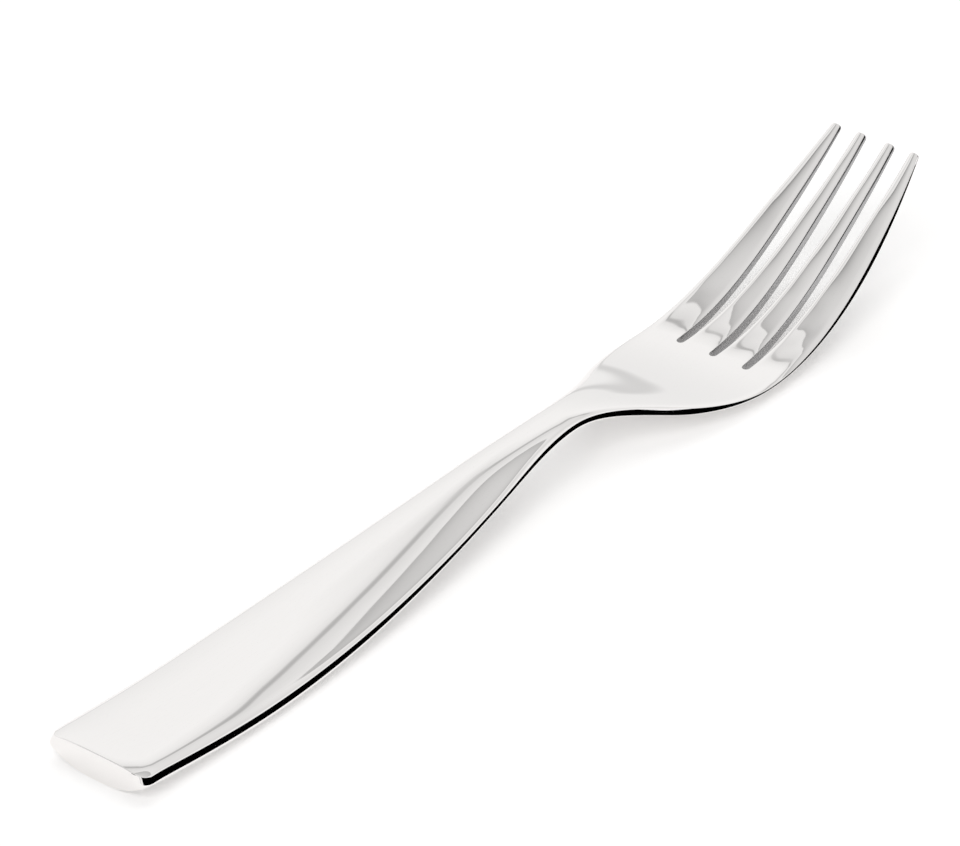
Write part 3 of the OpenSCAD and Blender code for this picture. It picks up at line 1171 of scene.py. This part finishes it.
@dataclass(frozen=True)
class SteelFinish:
    """A finish of stainless steel.

    Attributes:
        name: Name of the material.
        bright: Colour where the metal is clean.
        dull: Colour in the marks.
        smooth: Roughness where the metal is clean.
        rough: Roughness in the marks.
        mark_width: Width of the marks.
        mark_length: Length of the marks.
        mark_depth: Depth of the marks.
        waves: Sets of waves in the face.
    """

    name: str
    bright: tuple[float, float, float]
    dull: tuple[float, float, float]
    smooth: float
    rough: float
    mark_width: float
    mark_length: float
    mark_depth: float
    waves: tuple[Waves, ...]

    def material(self, wave_group: bpy.types.NodeTree, mark_group: bpy.types.NodeTree) -> bpy.types.Material:
        """Builds the material.

        Args:
            wave_group: Group of the slow waves.
            mark_group: Group of the hairline marks.

        Returns:
            The material.
        """
        material = bpy.data.materials.new(self.name)
        material.use_nodes = True
        bench = NodeBench(material.node_tree)
        steel = material.node_tree.nodes["Principled BSDF"]
        steel.inputs["Metallic"].default_value = 1.0
        mark = bench.add("ShaderNodeGroup", node_tree=mark_group)
        mark.inputs["Width"].default_value = self.mark_width
        mark.inputs["Length"].default_value = self.mark_length
        tint = bench.add("ShaderNodeMix", data_type="RGBA")
        bench.feed(tint.inputs["Factor"], mark.outputs["Mask"])
        colours = [socket for socket in tint.inputs if socket.type == "RGBA"]
        for socket, colour in zip(colours, (self.bright, self.dull)):
            socket.default_value = (*colour, 1.0)
        bench.feed(steel.inputs["Base Color"], next(socket for socket in tint.outputs if socket.type == "RGBA"))
        haze = bench.math("MULTIPLY_ADD", mark.outputs["Mask"], self.rough - self.smooth, self.smooth)
        bench.feed(steel.inputs["Roughness"], haze)
        height = bench.math("MULTIPLY", mark.outputs["Mask"], -self.mark_depth)
        for waves in self.waves:
            wave = bench.add("ShaderNodeGroup", node_tree=wave_group)
            for name, value in (("Length", waves.length), ("From", waves.start), ("To", waves.end), ("Fade", waves.fade)):
                wave.inputs[name].default_value = value
            height = bench.math("MULTIPLY_ADD", wave.outputs["Height"], waves.depth, height)
        relief = bench.add("ShaderNodeBump")
        relief.inputs["Strength"].default_value = 1.0
        relief.inputs["Distance"].default_value = 1.0
        bench.feed(relief.inputs["Height"], height)
        bench.feed(steel.inputs["Normal"], relief.outputs["Normal"])
        return material


@dataclass
class Fork:
    """The whole fork: its form, its finishes and its sections as separate pieces.

    Attributes:
        form: Sizes and rules of the fork.
        polished: Finish of the whole fork.
        ground: Finish of the slots' walls: rough, with a darker colour that is painted shade between the tines.
        pieces: The sections, in order, once they are built.
    """

    form: ForkForm = field(default_factory=ForkForm)
    polished: SteelFinish = SteelFinish(
        "polished_steel", bright=(0.875, 0.859, 0.847), dull=(0.865, 0.849, 0.837), smooth=0.03, rough=0.05,
        mark_width=0.12 * MM, mark_length=9 * MM, mark_depth=0,
        waves=(
            Waves(16 * MM, 0.02 * MM),
            Waves(5 * MM, 0.13 * MM, start=58 * MM, end=72 * MM),
            Waves(8 * MM, 0.2 * MM, start=80 * MM, fade=6 * MM),
        ),
    )
    # Rough ground finish of the slot walls: its roughness and marks are real, but its dark bright and dull colours are
    # painted shade between the tines.
    ground: SteelFinish = SteelFinish(
        "ground_steel", bright=(0.45, 0.447, 0.45), dull=(0.33, 0.328, 0.33), smooth=0.12, rough=0.22,
        mark_width=0.1 * MM, mark_length=0.5 * MM, mark_depth=0.001 * MM, waves=(Waves(3 * MM, 0.02 * MM),),
    )
    pieces: list[bpy.types.Object] = field(default_factory=list)

    def build(self) -> None:
        """Presses the fork and parts it into its sections."""
        waves, scratches = PolishWaves().group(), FineScratches().group()
        polished = self.polished.material(waves, scratches)
        ground = self.ground.material(waves, scratches)
        blank = ForkBlank(self.form).build()
        skin = ProfilePress(self.form, shift=CAD_BOX[0][1]).press(blank, polished, ground)
        normals = skin.attributes.new("skin_normal", "FLOAT_VECTOR", "POINT")
        for vertex, stored in zip(skin.vertices, normals.data):
            stored.vector = vertex.normal
        self.pieces = [self._part(skin, section) for section in Section]
        bpy.data.meshes.remove(skin)

    def _part(self, skin: bpy.types.Mesh, section: Section) -> bpy.types.Object:
        """Cuts one section out of the pressed skin and closes its ends.

        Args:
            skin: The whole skin.
            section: The section to keep.

        Returns:
            The section as a closed piece that shades as one with its neighbours.
        """
        shell = bmesh.new()
        shell.from_mesh(skin)
        number = shell.faces.layers.int["section"]
        others = [face for face in shell.faces if face[number] != section.number]
        bmesh.ops.delete(shell, geom=others, context="FACES")
        ends = bmesh.ops.holes_fill(shell, edges=[edge for edge in shell.edges if edge.is_boundary], sides=0)["faces"]
        for face in ends:
            face.smooth = False
        mesh = bpy.data.meshes.new(f"{section.value}_steel")
        shell.to_mesh(mesh)
        shell.free()
        for material in skin.materials:
            mesh.materials.append(material)
        kept = mesh.attributes["skin_normal"].data
        normals: list[Vector] = [Vector()] * len(mesh.loops)
        for face in mesh.polygons:
            for loop in face.loop_indices:
                normals[loop] = kept[mesh.loops[loop].vertex_index].vector.copy() if face.use_smooth else face.normal.copy()
        mesh.normals_split_custom_set(normals)
        for name in ("skin_normal", "section", "ground"):
            mesh.attributes.remove(mesh.attributes[name])
        piece = bpy.data.objects.new(f"{section.value}_steel", mesh)
        bpy.context.scene.collection.objects.link(piece)
        return piece

    def join_frame(self) -> None:
        """Puts each piece in its node's place in the frame."""
        for section, piece in zip(Section, self.pieces):
            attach(piece, "root")
            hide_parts(section.value)


@dataclass(frozen=True)
class Lamp:
    """A round soft lamp that shines at the fork.

    Attributes:
        name: What it is called.
        place: Where it hangs.
        size: How wide it is.
        power: How much light it gives.
    """

    name: str
    place: tuple[float, float, float]
    size: float
    power: float

    def build(self) -> None:
        """Hangs the lamp, out of the steel's reflections."""
        light = bpy.data.lights.new(self.name, "AREA")
        light.shape, light.size, light.energy = "DISK", self.size, self.power
        lamp = bpy.data.objects.new(self.name, light)
        lamp.location = self.place
        lamp.rotation_euler = Vector(self.place).to_track_quat("Z", "Y").to_euler()
        lamp.visible_glossy = False
        bpy.context.scene.collection.objects.link(lamp)


@dataclass(frozen=True)
class Card:
    """A black card that the steel mirrors.

    Attributes:
        start: Bearing of one end, from +X towards +Y, in degrees.
        end: Bearing of the other end.
        top: Elevation of its upper edge at the start, in degrees.
        fall: How far the upper edge falls for each degree of bearing.
    """

    start: float
    end: float
    top: float
    fall: float = 0

    def shade(
        self, bench: NodeBench, bearing: bpy.types.NodeSocket, elevation: bpy.types.NodeSocket
    ) -> bpy.types.NodeSocket:
        """Adds the nodes that black out the card.

        Args:
            bench: The world's nodes.
            bearing: Bearing of the direction looked in, in degrees.
            elevation: Its elevation, in degrees.

        Returns:
            Zero on the card and one beside it.
        """
        apart = bench.math("ABSOLUTE", bench.math("SUBTRACT", bearing, (self.start + self.end) / 2))
        between = bench.math("LESS_THAN", apart, (self.end - self.start) / 2)
        edge = bench.math("MULTIPLY_ADD", bearing, -self.fall, self.top + self.fall * self.start)
        return bench.math("SUBTRACT", 1.0, bench.math("MULTIPLY", between, bench.math("LESS_THAN", elevation, edge)))


@dataclass(frozen=True)
class Studio:
    """A pale table in a white room with a light grey ceiling.

    Attributes:
        wall_top: Elevation at which the white walls end, in degrees.
        wall_dip: How much lower they end straight behind the fork, in degrees.
        wall_tones: Brightness of the walls by elevation, below the seam.
        seam: Width of the dark seam there, in degrees.
        seam_reach: How far the seam's soft edges reach, as a share of that width.
        seam_tones: Brightness of the walls just below the seam and just above it.
        seam_shade: Depth of that seam behind the fork and beside it.
        seam_fade: Parts of a direction along the fork between which it passes from one to the other.
        seam_right: Part of a direction to the right by which it has gone.
        dip_span: Parts of a direction along the fork over which the walls' dip comes in.
        dip_rise: Elevations over which it comes in, in degrees.
        ceiling_edge: Elevation at which the ceiling starts behind the fork, in degrees.
        ceiling_lift: How much higher it starts in front of the fork.
        ceiling_gap: How far below it the walls have their last brightness, in degrees.
        ceiling_gap_tone: That brightness.
        ceiling_shade: Depth of the shade along the ceiling's edge behind the fork and in front of it.
        ceiling_fade: How far that shade reaches up, in degrees.
        ceiling_sharpness: How quickly the ceiling takes over from the walls, for each degree.
        ceiling_tones: Brightness of the ceiling by elevation.
        front_span: Parts of a direction along the fork between which behind passes into in front.
        cards: Black cards that stand round the fork.
        room_light: Brightness of the room as it lights the table.
        table_glow: What the table gains in the camera's view and in reflections, which makes it white.
        table_size: Length of the table's sides.
        table_colour: Colour of the table.
        lamps: The lamps, one in front at the right and one high behind at the left.
    """

    wall_top: float = 45.6
    wall_dip: float = 3.2
    wall_tones: tuple[tuple[float, float], ...] = (
        (0, 0.97), (1.5, 0.95), (2.5, 0.73), (3.3, 0.73), (4.6, 0.93), (15, 0.965), (30, 1.02), (38, 1.03), (42, 0.96),
    )
    seam: float = 0.9
    seam_reach: float = 1.5
    seam_tones: tuple[float, float] = (0.86, 0.8)
    seam_shade: tuple[float, float] = (0.36, 0.07)
    seam_fade: tuple[float, float] = (0.49, 0.43)
    seam_right: float = 0.12
    dip_span: tuple[float, float] = (0.64, 0.7)
    dip_rise: tuple[float, float] = (28.0, 36.0)
    ceiling_edge: float = 52.8
    ceiling_lift: float = 1.7
    ceiling_gap: float = 0.4
    ceiling_gap_tone: float = 0.92
    ceiling_shade: tuple[float, float] = (0.28, 0.7)
    ceiling_fade: float = 2.5
    ceiling_sharpness: float = 3.0
    ceiling_tones: tuple[tuple[float, float], ...] = ((50, 0.7), (58, 0.72), (66, 0.8), (90, 0.85))
    front_span: tuple[float, float] = (0.25, -0.15)
    cards: tuple[Card, ...] = (Card(-45, 8, 30), Card(8, 26, 30, 0.39), Card(26, 80, 23), Card(-114, -88, 36))
    room_light: float = 0.36
    table_glow: float = 0.24
    table_size: float = 6
    table_colour: tuple[float, float, float] = (0.9, 0.893, 0.888)
    lamps: tuple[Lamp, ...] = (
        Lamp("key_lamp", (0.9, -2.0, 2.3), 2.1, 44),
        Lamp("top_lamp", (-0.6, 0.9, 2.2), 2.8, 23),
    )

    def build(self) -> None:
        """Builds the table, the room and the lamps."""
        self._table()
        self._room()
        for lamp in self.lamps:
            lamp.build()

    def _table(self) -> None:
        """Lays the pale table top, which keeps the fork's shadow."""
        half = self.table_size / 2
        mesh = bpy.data.meshes.new("table_top")
        mesh.from_pydata([(-half, -half, 0), (half, -half, 0), (half, half, 0), (-half, half, 0)], [], [(0, 1, 2, 3)])
        table = bpy.data.objects.new("table_top", mesh)
        bpy.context.scene.collection.objects.link(table)
        material = bpy.data.materials.new("pale_table")
        material.use_nodes = True
        bench = NodeBench(material.node_tree)
        bench.tree.nodes.clear()
        matt = bench.add("ShaderNodeBsdfDiffuse")
        matt.inputs["Color"].default_value = (*self.table_colour, 1.0)
        path = bench.add("ShaderNodeLightPath").outputs
        mirrored = bench.math("MAXIMUM", path["Is Glossy Ray"], path["Is Transmission Ray"])
        seen = bench.math("MAXIMUM", path["Is Camera Ray"], mirrored)
        glow = bench.add("ShaderNodeEmission")
        bench.feed(glow.inputs["Strength"], bench.math("MULTIPLY", seen, self.table_glow))
        both = bench.add("ShaderNodeAddShader")
        bench.feed(both.inputs[0], matt.outputs[0])
        bench.feed(both.inputs[1], glow.outputs[0])
        bench.feed(bench.add("ShaderNodeOutputMaterial").inputs["Surface"], both.outputs[0])
        mesh.materials.append(material)

    def _room_tones(self) -> list[tuple[float, float]]:
        """Brightness of the room up to the ceiling, without the cards and the seam.

        Returns:
            Elevations in degrees and the brightness at each.
        """
        below, above = self.seam_tones
        sides = [(self.wall_top - self.seam, below), (self.wall_top + self.seam, above)]
        return [*self.wall_tones, *sides, (self.ceiling_edge - self.ceiling_gap, self.ceiling_gap_tone)]

    def _room(self) -> None:
        """Paints the room that the steel mirrors, with black cards low round the fork."""
        world = bpy.data.worlds.new("studio")
        bpy.context.scene.world = world
        world.use_nodes = True
        bench = NodeBench(world.node_tree)
        bench.tree.nodes.clear()
        direction = bench.add("ShaderNodeSeparateXYZ")
        bench.feed(direction.inputs[0], bench.add("ShaderNodeTexCoord").outputs["Generated"])
        x, y, z = direction.outputs
        elevation = bench.math("MULTIPLY", bench.math("ARCSINE", z), 180 / math.pi)
        shade = bench.span(y, *self.seam_fade, *self.seam_shade)
        dip = bench.span(y, *self.dip_span, high=self.wall_dip, smooth=True)
        level = bench.math("MULTIPLY_ADD", dip, bench.span(elevation, *self.dip_rise), elevation)
        apart = bench.math("ABSOLUTE", bench.math("SUBTRACT", level, self.wall_top))
        seam = bench.math("SUBTRACT", self.seam_reach, bench.math("DIVIDE", apart, self.seam), clamp=True)
        right = bench.math("SUBTRACT", 1.0, bench.math("DIVIDE", x, self.seam_right), clamp=True)
        seam = bench.math("SUBTRACT", 1.0, bench.math("MULTIPLY", bench.math("MULTIPLY", seam, right), shade))
        walls = bench.math("MULTIPLY", self._ramp(bench, level, self._room_tones()), seam)
        ceiling = self._ramp(bench, elevation, list(self.ceiling_tones))
        front = bench.span(y, *self.front_span, smooth=True)
        edge = bench.math("MULTIPLY_ADD", front, self.ceiling_lift, self.ceiling_edge)
        above = bench.math("SUBTRACT", elevation, edge)
        behind, before = self.ceiling_shade
        depth = bench.math("MULTIPLY_ADD", front, before - behind, behind)
        fade = bench.math("EXPONENT", bench.math("DIVIDE", bench.math("MAXIMUM", above, 0.0), -self.ceiling_fade))
        shaded = bench.math("MULTIPLY", ceiling, bench.math("SUBTRACT", 1.0, bench.math("MULTIPLY", depth, fade)))
        over = bench.math("MULTIPLY_ADD", above, self.ceiling_sharpness, 0.5, clamp=True)
        tone = bench.math("MULTIPLY_ADD", bench.math("SUBTRACT", shaded, walls), over, walls)
        bearing = bench.math("MULTIPLY", bench.math("ARCTAN2", y, x), 180 / math.pi)
        for card in self.cards:
            tone = bench.math("MULTIPLY", tone, card.shade(bench, bearing, elevation))
        path = bench.add("ShaderNodeLightPath").outputs
        mirrored = bench.add("ShaderNodeBackground")
        bench.feed(mirrored.inputs["Strength"], tone)
        plain = bench.add("ShaderNodeBackground")
        lit = bench.math("MULTIPLY_ADD", path["Is Camera Ray"], 1.0 - self.room_light, self.room_light)
        bench.feed(plain.inputs["Strength"], lit)
        for shader in (mirrored, plain):
            shader.inputs["Color"].default_value = (1, 1, 1, 1)
        both = bench.add("ShaderNodeMixShader")
        bench.feed(both.inputs[0], path["Is Glossy Ray"])
        bench.feed(both.inputs[1], plain.outputs[0])
        bench.feed(both.inputs[2], mirrored.outputs[0])
        bench.feed(bench.add("ShaderNodeOutputWorld").inputs["Surface"], both.outputs[0])

    def _ramp(
        self, bench: NodeBench, elevation: bpy.types.NodeSocket, tones: list[tuple[float, float]]
    ) -> bpy.types.NodeSocket:
        """Adds a ramp of brightness by elevation.

        Args:
            bench: The world's nodes.
            elevation: The elevation in degrees.
            tones: Elevations and the brightness at each.

        Returns:
            The brightness.
        """
        node = bench.add("ShaderNodeValToRGB")
        bench.feed(node.inputs["Fac"], bench.math("DIVIDE", elevation, 90.0))
        stops = node.color_ramp.elements
        for stop, (angle, tone) in zip(stops, (tones[0], tones[-1])):
            stop.position, stop.color = angle / 90, (tone, tone, tone, 1)
        for angle, tone in tones[1:-1]:
            stops.new(angle / 90).color = (tone, tone, tone, 1)
        return node.outputs["Color"]


@dataclass(frozen=True)
class PhotoCamera:
    """The photograph's camera, as a bearing, an elevation and a distance from the point that it looks at.

    Attributes:
        target: The point that it looks at, whose y is measured from the butt.
        bearing: Bearing of the camera from that point, from -Y towards +X, in degrees.
        elevation: Elevation of the camera over the table, in degrees.
        distance: Distance of the camera from that point.
        focal_length: Focal length of the lens, in millimetres.
        sensor_width: Width of the sensor, in millimetres.
        reach: Nearest and farthest distance that it sees.
    """

    target: tuple[float, float, float] = (-19.237 * MM, 116.324 * MM, 0.0)
    bearing: float = 39.023
    elevation: float = 32.008
    distance: float = 997.07 * MM
    focal_length: float = 225.0
    sensor_width: float = 36.0
    reach: tuple[float, float] = (0.01, 20)

    def build(self) -> None:
        """Places the camera and makes it the scene's own."""
        turn, tilt = math.radians(self.bearing), math.radians(self.elevation)
        back = Vector((math.sin(turn) * math.cos(tilt), -math.cos(turn) * math.cos(tilt), math.sin(tilt)))
        data = bpy.data.cameras.new("photo_camera")
        data.lens, data.sensor_width, data.sensor_fit = self.focal_length, self.sensor_width, "HORIZONTAL"
        data.clip_start, data.clip_end = self.reach
        camera = bpy.data.objects.new("photo_camera", data)
        camera.location = Vector(self.target) + Vector((0, CAD_BOX[0][1], 0)) + back * self.distance
        camera.rotation_euler = back.to_track_quat("Z", "Y").to_euler()
        bpy.context.scene.collection.objects.link(camera)
        bpy.context.scene.camera = camera


def main() -> None:
    """Builds the camera, the fork and the studio, and reports each piece."""
    logging.basicConfig(level=logging.INFO, format="%(name)s: %(message)s")
    bpy.context.scene.view_settings.view_transform = "Standard"
    PhotoCamera().build()
    fork = Fork()
    fork.build()
    fork.join_frame()
    for piece in fork.pieces:
        LOG.info("%s: %d faces", piece.name, len(piece.data.polygons))
    Studio().build()


if __name__ == "__main__":
    main()
